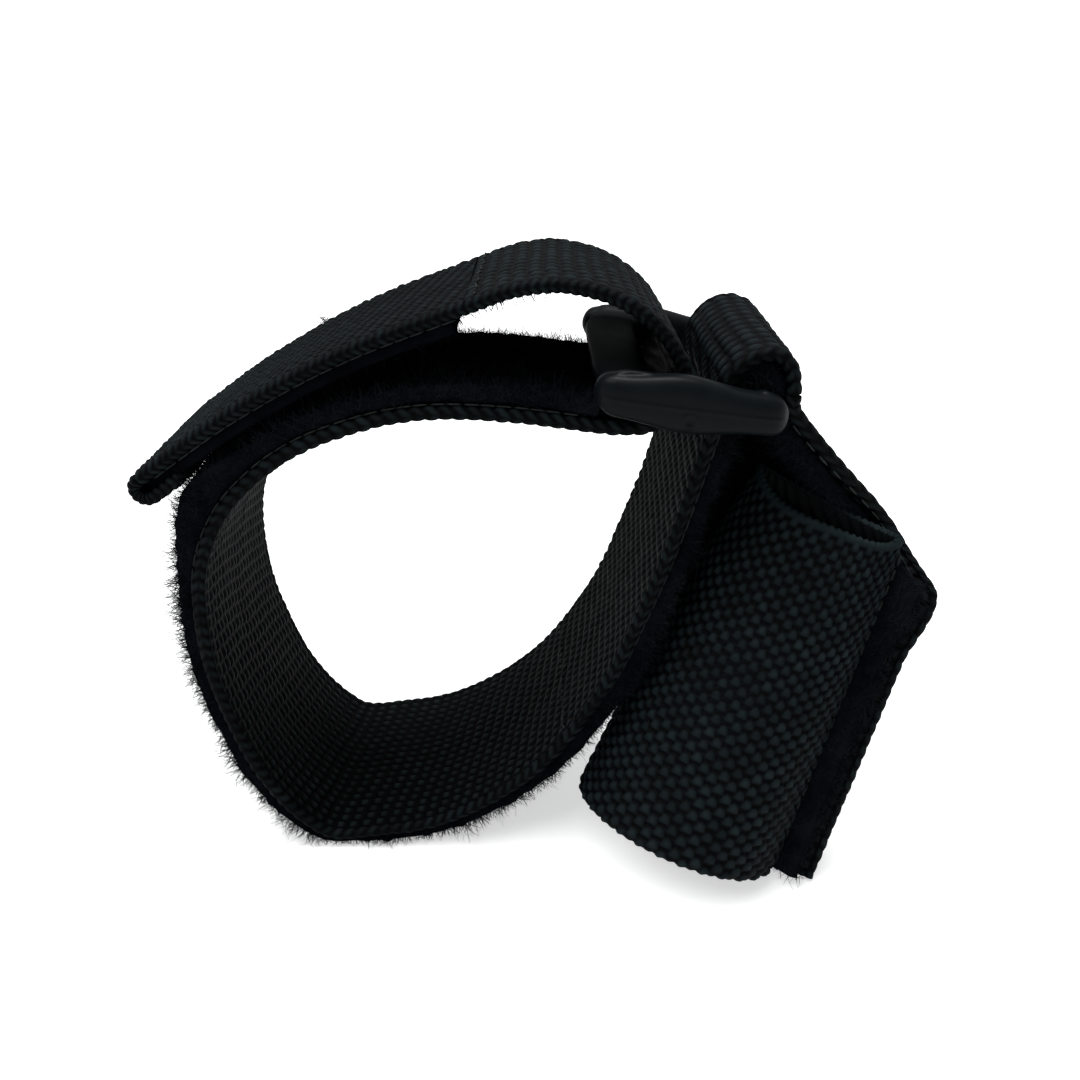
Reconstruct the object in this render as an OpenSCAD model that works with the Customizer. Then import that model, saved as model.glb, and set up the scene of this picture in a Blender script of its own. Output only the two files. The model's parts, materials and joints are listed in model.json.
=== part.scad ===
// Hook-and-loop limb strap with a three-bar slide buckle and a webbing sleeve.
// X runs across the loop, Y along the limb, Z up. The origin is the limb opening's centre.
// Faces: R is the ribbed webbing face, F is the face that carries the loop pile.

/* [Strap] */
// Width of the webbing
strap_w = 38; // [30:1:44]
// Thickness of the webbing
web_t = 2.2; // [1.4:0.1:2.2]
// Thickness of the sewn loop pile
pile_t = 2.3; // [1.4:0.05:2.3]
// Thickness of the sewn hook tape
hook_t = 2.0; // [1.2:0.1:2.4]
// Bare webbing left at each edge of the loop pile
pile_margin = 1.7; // [1:0.1:5]

/* [Buckle] */
// Radius of the round bar that holds the strap
bar_r = 1.8; // [1.6:0.05:1.85]
// Radius of the thin middle bar
mid_bar_r = 0.8; // [0.6:0.1:0.9]
// Thickness of the flat bar under the tail
flat_bar_t = 2.6; // [1.8:0.1:3]
// Width of each side bar, across the strap
side_bar_w = 4.8; // [3:0.1:7]
// Space between a side bar and the strap's edge
side_gap = 0.8; // [0.4:0.1:2]

/* [Sleeve] */
// Length of the sleeve
sleeve_l = 60; // [40:1:60]
// Depth of the sleeve at its top rim
sleeve_top_h = 7; // [6:0.5:10]
// Depth of the sleeve at its bottom rim
sleeve_bottom_h = 19; // [8:0.5:20]
// Thickness of the sleeve's webbing
sleeve_t = 1.6; // [1:0.1:2]

/* [Stitching] */
// Radius of the sewing thread
thread_r = 0.25; // [0.15:0.05:0.35]
// Distance from one stitch to the next
stitch_pitch = 3.4; // [2.5:0.1:6]

/* [Hidden] */
black = "#15181a";
pile_black = "#0b0c0f";
thread_grey = "#2b3032";
plastic_grey = "#2a2d30";
$fn = 48;

seam_gap = 0.05;   // air between sewn layers, so that each stays its own solid
joint_gap = 0.4;   // air where a strap bends between two bodies
steps = 4;         // spline steps between two key points
half_w = strap_w / 2;
loose_margin = 0.8; // extra bare webbing beside the leg's pile

// ---- curves ----
function unit(v) = v / norm(v);
function left_of(d) = [-d[1], d[0]];
function knot(p, i) = p[max(0, min(len(p) - 1, i))];
function catmull(a, b, c, d, t) =
  0.5 * (2 * b + (c - a) * t + (2 * a - 5 * b + 4 * c - d) * t * t
         + (3 * b - a - 3 * c + d) * t * t * t);
// A smooth curve through every key point
function spline(p, n = steps) = [
  for (i = [0 : len(p) - 2], k = [0 : n - 1])
    catmull(knot(p, i - 1), p[i], p[i + 1], knot(p, i + 2), k / n),
  p[len(p) - 1]
];
function tangent(p, i) = unit(knot(p, i + 1) - knot(p, i - 1));
function offset_path(p, d) = [for (i = [0 : len(p) - 1]) p[i] + d * left_of(tangent(p, i))];
function reversed(p) = [for (i = [len(p) - 1 : -1 : 0]) p[i]];
function slice(p, a, b) = [for (i = [a : b]) p[i]];
function lengths(p, i = 0, so_far = 0) =
  i >= len(p) - 1 ? [so_far]
  : concat([so_far], lengths(p, i + 1, so_far + norm(p[i + 1] - p[i])));
function point_at(p, l, s, i = 0) =
  (i >= len(p) - 2 || l[i + 1] >= s)
  ? let (k = (s - l[i]) / (l[i + 1] - l[i])) [p[i] + k * (p[i + 1] - p[i]), unit(p[i + 1] - p[i])]
  : point_at(p, l, s, i + 1);

// ---- the strap's path, on its R face, in X and Z ----
bar_at = [48.5, 39.5];
roll_r = bar_r + 0.2 + pile_t + seam_gap + web_t;
roll_end = 9;
roll_slack = 1.1; // the roll stands a little away from the bar at its top
roll_arc = [for (a = [roll_end : 9 : 180])
  bar_at + (roll_r + roll_slack * pow(sin(a), 1.5)) * [cos(a), sin(a)]];
wall_keys = [
  [bar_at[0] - roll_r, bar_at[1] - 0.8], [40.4, 32], [35.9, 15.5], [31.6, 3], [27.5, -7.2],
  [21.2, -17.8], [14.6, -25.6], [6.2, -31.9], [-3.1, -36.2], [-12.3, -37.8]
];
left_keys = [
  [-21.0, -37.8], [-25.9, -32.9], [-30.5, -25.3], [-33.8, -15.9], [-36.0, -6], [-36.3, 4],
  [-35.0, 12.7], [-31.0, 20.8], [-25.0, 27.0], [-18.4, 31.3], [-10.6, 34.3], [-3.4, 36.0],
  [3.8, 36.5], [13.9, 35.9], [25.0, 34.4]
];
slot_keys = [[25.0, 34.4], [29.4, 34.1], [33.4, 34.6], [36.9, 37.1], [38.4, 39.5], [38.8, 41]];
loop_round = concat(roll_arc, spline(wall_keys), spline(left_keys));
slot_path = spline(slot_keys);
loop_path = concat(loop_round, slice(slot_path, 1, len(slot_path) - 1));
tail_keys = [
  [38.95, 41 + 2 * joint_gap], [38.3, 45], [34.9, 50.1], [30.4, 53.8], [25.2, 56], [19, 57],
  [12.6, 56.2], [6.3, 54]
];
tab_keys = [[6.3 - joint_gap, 53.9], [-7.6, 49.0], [-16.7, 45.0], [-25, 40.6], [-33.3, 35.6],
            [-44.0, 28.1]];
tail_path = spline(tail_keys);
tab_path = spline(tab_keys);

// A flat strap between two depths under the R face, drawn in X and Z and run along Y
module strap(path, from, to, width) {
  rotate([90, 0, 0])
    linear_extrude(height = width, center = true)
      polygon(concat(offset_path(path, from), reversed(offset_path(path, to))));
}

// One stitch: a short thread from its middle, along a direction
module stitch(at, dir, l) {
  translate(at)
    rotate([0, acos(dir[2]), atan2(dir[1], dir[0])])
      cylinder(r = thread_r, h = l, center = true, $fn = 16);
}

// Stitches in a row along a strap's path, at one depth and at each y
module seam_along(path, depth, ys, from, to) {
  row = offset_path(path, depth);
  l = lengths(row);
  for (y = ys, s = [from : stitch_pitch : min(to, l[len(l) - 1]) - stitch_pitch]) {
    hit = point_at(row, l, s + stitch_pitch / 2);
    stitch([hit[0][0], y, hit[0][1]], [hit[1][0], 0, hit[1][1]], stitch_pitch * 0.7);
  }
}

// Stitches in a row across a strap, on its R face
module seam_across(at, normal, width) {
  reach = width / 2 - stitch_pitch / 2;
  for (y = [-reach : stitch_pitch : reach])
    stitch([at[0], y, at[1]] - (thread_r + 0.03) * [normal[0], 0, normal[1]],
           [0, 1, 0], stitch_pitch * 0.7);
}

// ---- buckle ----
side_y = half_w + side_gap + side_bar_w / 2;
module side_bar(y) {
  translate([0, y + side_bar_w / 2, 0])
    rotate([90, 0, 0])
      linear_extrude(height = side_bar_w)
        hull() {
          translate([27.3, 41.9]) circle(r = 2.9);
          translate([38, 40.9]) circle(r = 4.2);
          translate([49.4, 39.2]) circle(r = 2.9);
        }
}
module cross_bar(at, r) {
  translate([at[0], 0, at[1]])
    rotate([90, 0, 0])
      cylinder(r = r, h = 2 * side_y, center = true);
}
module buckle_frame() {
  color(plastic_grey) {
    for (side = [-1, 1]) side_bar(side * side_y);
    cross_bar(bar_at, bar_r);
    cross_bar([40.6, 39.9], mid_bar_r);
    rotate([90, 0, 0])
      linear_extrude(height = 2 * side_y, center = true)
        hull() {
          translate([25.9, 42.4]) circle(r = flat_bar_t / 2);
          translate([32.0, 41.7]) circle(r = flat_bar_t / 2);
        }
  }
}

// ---- loop ----
pile_from = web_t + seam_gap;
pile_to = pile_from + pile_t;
pile_w = strap_w - 2 * pile_margin;
seam_y = pile_w / 2 + thread_r + 0.3; // edge seams run just outside the tape
module loop_webbing() {
  color(black) strap(loop_path, 0, web_t, strap_w);
}
module loop_pile_tape() {
  color(pile_black) strap(loop_round, pile_from, pile_to, pile_w);
}
loop_seam_from = 26; // the seam starts below the roll
loop_cross_at = [20.95, -18.12];
loop_cross_way = [-7, -9.5];
module loop_edge_stitching() {
  whole = lengths(loop_round);
  color(thread_grey)
    seam_along(loop_round, pile_from + thread_r, [-seam_y, seam_y],
               loop_seam_from, whole[len(whole) - 1]);
}
module loop_cross_stitch() {
  color(thread_grey) seam_across(loop_cross_at, left_of(unit(loop_cross_way)), strap_w);
}

// ---- tail and tab ----
module tail_webbing() {
  color(black) strap(tail_path, 0, web_t, strap_w);
}
tail_cross_at = [7.6, 54.55];
tail_cross_way = [-6.3, -2.2];
module tail_cross_stitch() {
  color(thread_grey) seam_across(tail_cross_at, left_of(unit(tail_cross_way)), strap_w);
}
module tab_webbing() {
  color(black) strap(tab_path, 0, web_t, strap_w);
}
hook_from = web_t + seam_gap;
hook_to = hook_from + hook_t;
module tab_hook_tape() {
  hook_path = slice(tab_path, 1, len(tab_path) - 1);
  color(pile_black) strap(hook_path, hook_from, hook_to, pile_w);
}
tab_seam_from = 3;
tab_seam_to = 52;
module tab_edge_stitching() {
  color(thread_grey)
    seam_along(tab_path, hook_from + thread_r, [-seam_y, seam_y], tab_seam_from, tab_seam_to);
}
// The folded tip, a half round that closes the end of the tab
module tab_tip_hem() {
  last = len(tab_path) - 1;
  dir = tangent(tab_path, last);
  hem_r = (hook_to + 0.3) / 2;
  at = tab_path[last] + hem_r * left_of(dir) + seam_gap * dir;
  color(black)
    rotate([90, 0, 0])
      linear_extrude(height = strap_w, center = true)
        translate(at)
          rotate(atan2(dir[1], dir[0]))
            intersection() {
              circle(r = hem_r);
              translate([0, -hem_r]) square([hem_r, 2 * hem_r]);
            }
}

// ---- leg: a strap that twists as it leaves the roll, then lies flat ----
tip_near = [62.8, -28.9, -41.5];
crease_near = [78.8, -19.1, 9.2];
leg_down = unit(tip_near - crease_near);
heading = [-0.88, 0.475, 0];
leg_across = unit(heading - leg_down * (heading * leg_down));
leg_out = cross(leg_across, leg_down);
leg_w = strap_w + 2;
crease_far = crease_near + leg_w * leg_across + 8 * leg_down;
tip_far = tip_near + leg_w * leg_across;
leg_top = roll_arc[0] - web_t * [cos(roll_end), sin(roll_end)] - [0, joint_gap];
near_rail = concat(
  spline([[leg_top[0], -half_w, leg_top[1]], [53.6, -18.9, 36.9], [60.2, -17.6, 29.2],
          [71.6, -14.4, 17.6], crease_near]),
  [for (k = [1 : 4]) crease_near + (tip_near - crease_near) * k / 4]);
far_rail = concat(
  spline([[leg_top[0], half_w, leg_top[1]], [52.4, 18.6, 35.4], [50.2, 16.3, 28.4],
          [44.4, 9.6, 19.4], crease_far]),
  [for (k = [1 : 4]) crease_far + (tip_far - crease_far) * k / 4]);
function mix(a, b, t) = a + (b - a) * t;
// A point on the leg: station i, share u of the way across, and depth out of its F face
function leg_surface(i, u, depth) =
  let (
    side = far_rail[i] - near_rail[i],
    ahead = mix(knot(near_rail, i + 1) - knot(near_rail, i - 1),
                knot(far_rail, i + 1) - knot(far_rail, i - 1), u)
  )
  near_rail[i] + u * side + depth * unit(cross(side, ahead));
tape_share = (pile_margin + loose_margin) / leg_w;
tape_columns = 6;
tape_at = [for (k = [0 : tape_columns]) mix(tape_share, 1 - tape_share, k / tape_columns)];
edge_to_edge = concat([0], tape_at, [1]);
// A sheet that follows the leg between two depths, at the given shares across
module sheet(from, to, across, first = 0) {
  n = len(near_rail) - first;
  cols = len(across);
  ring = 2 * cols;
  last = ring * (n - 1);
  pts = [for (i = [first : len(near_rail) - 1])
    each concat([for (u = across) leg_surface(i, u, from)],
                [for (u = reversed(across)) leg_surface(i, u, to)])];
  polyhedron(
    points = pts,
    faces = concat(
      [for (k = [0 : cols - 2]) [k, k + 1, ring - 2 - k, ring - 1 - k]],
      [for (k = [0 : cols - 2])
        [last + ring - 1 - k, last + ring - 2 - k, last + k + 1, last + k]],
      [for (i = [0 : n - 2], k = [0 : ring - 1])
        each let (a = ring * i + k, b = ring * i + (k + 1) % ring)
        k < cols ? [[a, a + ring, b], [a + ring, b + ring, b]]
                 : [[a, a + ring, b + ring], [a, b + ring, b]]]));
}
module leg_webbing() {
  color(black) sheet(-web_t, 0, edge_to_edge);
}
module leg_pile_tape() {
  color(pile_black) sheet(seam_gap, seam_gap + pile_t, tape_at, 2);
}
// A point on the flat part of the leg: across from the near edge, out of F, up from the tip
function leg_point(a, b, s) = tip_near + a * leg_across + b * leg_out - s * leg_down;
leg_seam_in = pile_margin + loose_margin - thread_r - 0.3; // from the leg's edge to its seam
leg_seam_from = 2;
leg_seam_to = 48;
module leg_edge_stitching() {
  color(thread_grey)
    for (a = [leg_seam_in, leg_w - leg_seam_in], s = [leg_seam_from : stitch_pitch : leg_seam_to])
      stitch(leg_point(a, seam_gap + thread_r, s), leg_down, stitch_pitch * 0.7);
}

// ---- sleeve: a flattened tube sewn to the leg's pile, open at both ends ----
sleeve_near = 6.2;       // the sleeve's near edge, from the leg's near edge
sleeve_far_bottom = 42.6; // its far edge at the bottom rim
sleeve_far_top = 35;     // its far edge at the top rim
sleeve_base = seam_gap + pile_t + 0.2;
sleeve_foot = 1.0;       // from the leg's tip to the bottom rim
front_droop = 3.5;       // the top rim's front lip hangs lower than its back
top_lift = 2.9;          // the leg bends towards the sleeve's free top end
bulge = 0.85;            // a fuller front than a plain half ellipse
sleeve_seam_at = 5.5;
ring_n = 40;
function sleeve_ring(t, inner) =
  let (
    far = mix(sleeve_far_bottom, sleeve_far_top, t),
    mid = (sleeve_near + far) / 2,
    half = (far - sleeve_near) / 2 - inner,
    depth = mix(sleeve_bottom_h, sleeve_top_h, t) - sleeve_base - 2 * inner,
    base = sleeve_base + top_lift * pow(t, 4)
  )
  [for (k = [0 : ring_n - 1])
    let (ang = 360 * k / ring_n, up = max(0, sin(ang)))
    leg_point(mid - half * cos(ang), base + inner + depth * pow(up, bulge),
              sleeve_foot + t * sleeve_l - front_droop * t * up)];
module sleeve_webbing() {
  levels = 6;
  shell = [for (wall = [0, sleeve_t], i = [0 : levels]) each sleeve_ring(i / levels, wall)];
  inner_start = ring_n * (levels + 1);
  top = ring_n * levels;
  color(black)
    polyhedron(points = shell, faces = concat(
      [for (i = [0 : levels - 1], k = [0 : ring_n - 1])
        each let (a = i * ring_n + k, b = i * ring_n + (k + 1) % ring_n)
        [[a, b, a + ring_n], [b, b + ring_n, a + ring_n]]],
      [for (i = [0 : levels - 1], k = [0 : ring_n - 1])
        each let (a = inner_start + i * ring_n + k, b = inner_start + i * ring_n + (k + 1) % ring_n)
        [[a, a + ring_n, b], [b, a + ring_n, b + ring_n]]],
      [for (k = [0 : ring_n - 1])
        each let (a = k, b = (k + 1) % ring_n)
        [[a, inner_start + a, b], [b, inner_start + a, inner_start + b]]],
      [for (k = [0 : ring_n - 1])
        each let (a = top + k, b = top + (k + 1) % ring_n)
        [[a, b, inner_start + a], [b, inner_start + b, inner_start + a]]]));
}
module sleeve_seam_stitching() {
  color(thread_grey)
    for (s = [3 : stitch_pitch : sleeve_l - 4])
      stitch(leg_point(sleeve_seam_at, sleeve_base + thread_r, s), leg_down, stitch_pitch * 0.7);
}

buckle_frame();
loop_webbing();
loop_pile_tape();
loop_edge_stitching();
loop_cross_stitch();
tail_webbing();
tail_cross_stitch();
tab_webbing();
tab_hook_tape();
tab_edge_stitching();
tab_tip_hem();
leg_webbing();
leg_pile_tape();
leg_edge_stitching();
sleeve_webbing();
sleeve_seam_stitching();
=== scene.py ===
"""Looks for the hook-and-loop limb strap: woven webbing, loop pile, hook tape, thread and a moulded buckle.

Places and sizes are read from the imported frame. The offsets added to them were read from the photo.
Lengths are in metres; MM turns millimetres into metres.
A strap is a sheet between a near rail and a far rail. R is its ribbed face, F the face that carries pile.
"""

import json
import math

import bpy
import numpy as np
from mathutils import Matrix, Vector


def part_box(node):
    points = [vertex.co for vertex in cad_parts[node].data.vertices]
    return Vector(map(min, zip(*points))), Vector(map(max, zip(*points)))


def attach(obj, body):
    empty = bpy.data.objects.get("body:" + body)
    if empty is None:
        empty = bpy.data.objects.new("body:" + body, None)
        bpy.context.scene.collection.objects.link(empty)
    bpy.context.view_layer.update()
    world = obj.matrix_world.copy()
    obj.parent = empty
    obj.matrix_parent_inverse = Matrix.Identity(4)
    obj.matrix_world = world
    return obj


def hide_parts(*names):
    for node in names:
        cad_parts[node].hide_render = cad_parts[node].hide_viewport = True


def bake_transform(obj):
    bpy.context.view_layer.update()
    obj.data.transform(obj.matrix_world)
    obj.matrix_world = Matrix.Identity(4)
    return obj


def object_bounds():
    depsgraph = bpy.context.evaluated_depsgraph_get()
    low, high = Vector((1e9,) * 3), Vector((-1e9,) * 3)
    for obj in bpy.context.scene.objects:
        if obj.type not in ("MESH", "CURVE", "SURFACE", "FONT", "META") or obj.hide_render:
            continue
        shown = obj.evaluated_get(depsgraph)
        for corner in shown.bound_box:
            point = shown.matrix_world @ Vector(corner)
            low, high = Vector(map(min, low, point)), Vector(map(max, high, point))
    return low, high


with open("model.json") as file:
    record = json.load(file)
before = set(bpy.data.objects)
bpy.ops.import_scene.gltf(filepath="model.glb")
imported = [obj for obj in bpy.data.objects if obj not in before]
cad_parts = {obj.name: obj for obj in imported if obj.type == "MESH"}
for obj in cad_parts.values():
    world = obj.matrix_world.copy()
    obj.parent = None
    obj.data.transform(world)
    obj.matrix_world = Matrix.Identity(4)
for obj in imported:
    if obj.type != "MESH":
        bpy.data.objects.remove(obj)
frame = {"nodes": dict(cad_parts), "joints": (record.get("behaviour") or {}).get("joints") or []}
cad_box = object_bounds()

MM = 0.001
RNG = np.random.default_rng(7)
JOINTS = {j["name"]: j for j in frame["joints"]}

# Two CAD faces that meet at more than 55 degrees share a strap's long edge or its end
SHARP_COS = math.cos(math.radians(55))

# Woven relief of the strap: one float is a short raised run of yarn
RIB_ALONG = 2.3 * MM
RIB_ACROSS = 1.75 * MM
BROAD_ACROSS = 2.9 * MM
RIB_HEIGHT = 0.5 * MM
RIB_DRIFT = 0.16
RIB_SHARES = (0.76, 0.86)
BROAD_SHARES = (0.88, 0.96)
EDGE_HEIGHT = 0.3 * MM
EDGE_ALONG = 2.05 * MM
SHORT_EDGE_ALONG = 1.35 * MM
ACROSS_SAMPLES = 6
ALONG_SAMPLES = 8
STEP = RIB_ALONG / ALONG_SAMPLES

# Woven relief of the sleeve: teardrops, narrow at the top, each column half a step from its neighbours
DROP_ALONG = 2.4 * MM
DROP_ACROSS = 1.62 * MM
DROP_HEIGHT = 0.6 * MM
DROP_SAMPLES = 6

# Loose fibres: how many stand on a square millimetre, and how long they are, in millimetres
PILE_PER_MM2 = 7.0
PILE_LENGTHS = (0.9, 1.9)
HOOKS_PER_MM2 = 2.2
HOOK_LENGTHS = (1.0, 1.9)
TAIL_HOOKS = 260

# Thread: how far it lies out of the webbing, and how far a seam lies inside the edge of the CAD's seam
THREAD_PROUD = 0.12 * MM
SEAM_INSET = 0.25 * MM

# The folded tip of the tab, and the wall and girth of the sleeve
FOLD_R = 2.75 * MM
FOLD_THICK = 2.1 * MM
SLEEVE_WALL = 1.15 * MM
SLEEVE_GIRTH = 96 * MM

# The loop's strap widens from the frame's origin down, and from this depth on it is wider by this share
LOOP_DEPTH = 38 * MM
LOW_SPREAD = 0.07


# ---------------------------------------------------------------- reading the frame
def cad_points(node):
    """The CAD node's points, each once, and its triangles by those points."""
    mesh = frame["nodes"][node].data
    co = np.array([v.co for v in mesh.vertices], float)
    unique, index = np.unique(np.round(co / 1e-7).astype(np.int64), axis=0, return_inverse=True)
    faces = [[int(index.ravel()[i]) for i in p.vertices] for p in mesh.polygons]
    return unique * 1e-7, faces


def sharp_edges(points, faces):
    """Neighbours of each point along edges where two faces meet at a sharp angle."""
    normals = {}
    for face in faces:
        a, b, c = (points[i] for i in face[:3])
        n = np.cross(b - a, c - a)
        size = np.linalg.norm(n)
        if size < 1e-16:
            continue
        for k in range(len(face)):
            edge = tuple(sorted((face[k], face[(k + 1) % len(face)])))
            normals.setdefault(edge, []).append(n / size)
    links = {}
    for (i, j), pair in normals.items():
        if len(pair) == 2 and pair[0] @ pair[1] < SHARP_COS:
            links.setdefault(i, []).append(j)
            links.setdefault(j, []).append(i)
    return links


def read_rails(node, start):
    """The strap's long edges, near and far, on R and on F, from the end that lies furthest along start."""
    points, faces = cad_points(node)
    links = sharp_edges(points, faces)
    corners = {i for i, near in links.items() if len(near) >= 3}
    first = sorted(corners, key=lambda i: -(points[i] @ np.array(start)))[:4]
    chains = []
    for corner in first:
        walks = []
        for step in links[corner]:
            walk = [corner, step]
            while True:
                way = unit(points[walk[-1]] - points[walk[-2]])
                onward = [i for i in links[walk[-1]] if i != walk[-2]]
                turns = [float(unit(points[i] - points[walk[-1]]) @ way) for i in onward]
                best = int(np.argmax(turns))
                if walk[-1] in corners and turns[best] < 0.4:
                    break
                walk.append(onward[best])
            if walk[-1] not in first:
                walks.append(walk)
        chains.append(points[walks[0]])
    chains.sort(key=lambda c: c[0][1])
    rails = {}
    for side, pair in (("near", chains[:2]), ("far", chains[2:])):
        pair.sort(key=lambda c: c[0][0] + c[0][2])
        rails[side, "F"], rails[side, "R"] = pair
    return rails


def resample(path, at, targets):
    """A smooth curve through the path's points, read at the target distances."""
    slope = np.gradient(path, at, axis=0)
    k = np.clip(np.searchsorted(at, targets, side="right") - 1, 0, len(at) - 2)
    gap = (at[k + 1] - at[k])[:, None]
    t = ((targets - at[k]) / (at[k + 1] - at[k]))[:, None]
    h00, h10 = 2 * t**3 - 3 * t**2 + 1, t**3 - 2 * t**2 + t
    h01, h11 = -2 * t**3 + 3 * t**2, t**3 - t**2
    return h00 * path[k] + h10 * gap * slope[k] + h01 * path[k + 1] + h11 * gap * slope[k + 1]


def unit(v):
    """The vectors of the last axis, each with length 1."""
    return v / np.maximum(np.linalg.norm(v, axis=-1, keepdims=True), 1e-12)


class Strip:
    """A strap between a near and a far rail, station by station, with its R side outward.

    The rails run through the middle of its thickness. A place is a station, y across and h outward."""

    def __init__(self, near, far, at, thick, outward):
        self.near, self.far, self.at, self.thick = near, far, at, thick
        self.length = float(at[-1])
        self.half = np.linalg.norm(far - near, axis=1) / 2
        self.width = float(np.median(self.half))
        self.across = unit(far - near)
        self.near_way = np.gradient(near, at, axis=0)
        self.far_way = np.gradient(far, at, axis=0)
        self.middle = (near + far) / 2
        normal = np.cross(self.across, self.near_way + self.far_way)
        self.sign = 1.0 if (normal * outward).sum() > 0 else -1.0

    @classmethod
    def read(cls, node, start, extend=(0.0, 0.0)):
        """The strap of a CAD node, from its end that lies furthest along start, made longer if asked."""
        rails = read_rails(node, start)
        near = (rails["near", "R"] + rails["near", "F"]) / 2
        far = (rails["far", "R"] + rails["far", "F"]) / 2
        outward = rails["near", "R"] - rails["near", "F"]
        middle = (near + far) / 2
        at = np.concatenate([[0], np.cumsum(np.linalg.norm(np.diff(middle, axis=0), axis=1))])
        count = int(round((at[-1] + sum(extend)) / STEP)) + 1
        s = np.linspace(-extend[0], at[-1] + extend[1], count)
        inside = np.clip(s, 0, at[-1])
        beyond = (s - inside)[:, None]
        rows = [resample(rail, at, inside) for rail in (near, far)]
        slopes = [resample(np.gradient(rail, at, axis=0), at, inside) for rail in (near, far)]
        rows = [row + beyond * slope for row, slope in zip(rows, slopes)]
        thick = float(np.linalg.norm(outward[0]))
        return cls(rows[0], rows[1], s + extend[0], thick, resample(outward, at, inside))

    def widened(self, factor):
        """The same strap, drawn out sideways by a factor at each station."""
        half = (self.far - self.near) / 2 * factor[:, None]
        facing = self.out(np.arange(len(self.at)))
        return Strip(self.middle - half, self.middle + half, self.at, self.thick, facing)

    def share(self, i, y):
        """How far y lies from the near rail to the far rail, from 0 to 1."""
        return (0.5 + np.asarray(y) / (2 * self.half[i]))[..., None]

    def heading(self, i, y):
        """The direction along the strap."""
        v = np.clip(self.share(i, y), 0, 1)
        return unit(self.near_way[i] * (1 - v) + self.far_way[i] * v)

    def out(self, i, y=0.0):
        """The direction out of the R side."""
        y = np.asarray(y) + np.zeros(np.shape(i))
        return self.sign * unit(np.cross(self.across[i], self.heading(i, y)))

    def place(self, i, y, h):
        """Points at stations i, y across from the middle and h out of the R side."""
        i = np.asarray(i)
        v = self.share(i, y)
        return self.near[i] * (1 - v) + self.far[i] * v + np.asarray(h)[..., None] * self.out(i, y)

    def station(self, s):
        """The first station at or past a distance along the strap."""
        return int(np.clip(np.searchsorted(self.at, s), 0, len(self.at) - 1))

    def nearest(self, point):
        """The station whose middle is nearest to a point."""
        return int(np.argmin(np.linalg.norm(self.middle - np.array(point), axis=1)))


def node_centre(node):
    """The middle of a CAD node's box."""
    lo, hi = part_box(node)
    return (lo + hi) / 2


# ---------------------------------------------------------------- meshes
def make_mesh(name, points, faces, material, smooth=True):
    """A mesh object from numpy points and from faces that all have as many corners."""
    points = np.ascontiguousarray(points, np.float32)
    faces = np.ascontiguousarray(faces, np.int32)
    corners = faces.shape[1]
    mesh = bpy.data.meshes.new(name)
    mesh.vertices.add(len(points))
    mesh.vertices.foreach_set("co", points.ravel())
    mesh.loops.add(faces.size)
    mesh.loops.foreach_set("vertex_index", faces.ravel())
    mesh.polygons.add(len(faces))
    mesh.polygons.foreach_set("loop_start", np.arange(0, faces.size, corners, dtype=np.int32))
    mesh.polygons.foreach_set("loop_total", np.full(len(faces), corners, np.int32))
    mesh.update(calc_edges=True)
    mesh.validate()
    if smooth:
        mesh.polygons.foreach_set("use_smooth", np.ones(len(mesh.polygons), bool))
    mesh.materials.append(material)
    obj = bpy.data.objects.new(name, mesh)
    bpy.context.scene.collection.objects.link(obj)
    return obj


def wall_faces(rows, cols):
    """Quads between neighbouring rings of a tube."""
    i = np.arange(rows - 1)[:, None]
    j = np.arange(cols)[None, :]
    a = i * cols + j
    b = i * cols + (j + 1) % cols
    return np.stack([a, b, b + cols, a + cols], -1).reshape(-1, 4)


def closed_faces(rows, cols):
    """Faces of a closed tube: its wall, and quads across the ring that fill its two ends."""
    faces = [wall_faces(rows, cols)]
    k = np.arange(cols // 2 - 1)
    for start, flipped in ((0, True), ((rows - 1) * cols, False)):
        cap = np.stack([start + k, start + k + 1, start + cols - 2 - k, start + cols - 1 - k], -1)
        faces.append(cap[:, ::-1] if flipped else cap)
    return np.concatenate(faces)


def tube_mesh(name, rings, material, raised=None):
    """A closed tube from rings of equally many points."""
    rows, cols, _ = rings.shape
    obj = make_mesh(name, rings.reshape(-1, 3), closed_faces(rows, cols), material)
    if raised is not None:
        mark_raised(obj, raised)
    return obj


def mark_raised(obj, raised):
    """Stores a value for each point that its material reads: 0 in a gap of a weave, 1 on top of a yarn. The
    cloth material paints shade into the low places from it.
    """
    attribute = obj.data.attributes.new("raised", "FLOAT", "POINT")
    attribute.data.foreach_set("value", np.ascontiguousarray(raised, np.float32).ravel())


def hashed(a, b=0.0):
    """A repeatable value from -1 to 1 for each pair of whole numbers."""
    x = np.sin(a * 12.9898 + b * 78.233) * 43758.5453
    return 2 * (x - np.floor(x)) - 1


def pill(u, share):
    """A float that fills a share of each step and leaves a flat gap between floats."""
    u = u - np.floor(u)
    inside = np.clip((u - (1 - share) / 2) / share, 0, 1)
    return np.sin(np.pi * inside) ** 0.55


def rib_relief(s, y, pitch=RIB_ACROSS, drift=RIB_DRIFT, shares=RIB_SHARES):
    """Height of the ribbed webbing at a place along and across the strap, from 0 to 1."""
    column = np.floor(y / pitch + 1e-6)
    u = s / RIB_ALONG + drift * column + 0.05 * hashed(column) + 0.06 * np.sin(s / (13 * MM) + column * 0.7)
    row = np.floor(u)
    tall = 0.86 + 0.14 * hashed(row, column)
    return tall * pill(u, shares[0]) * pill(y / pitch, shares[1])


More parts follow.
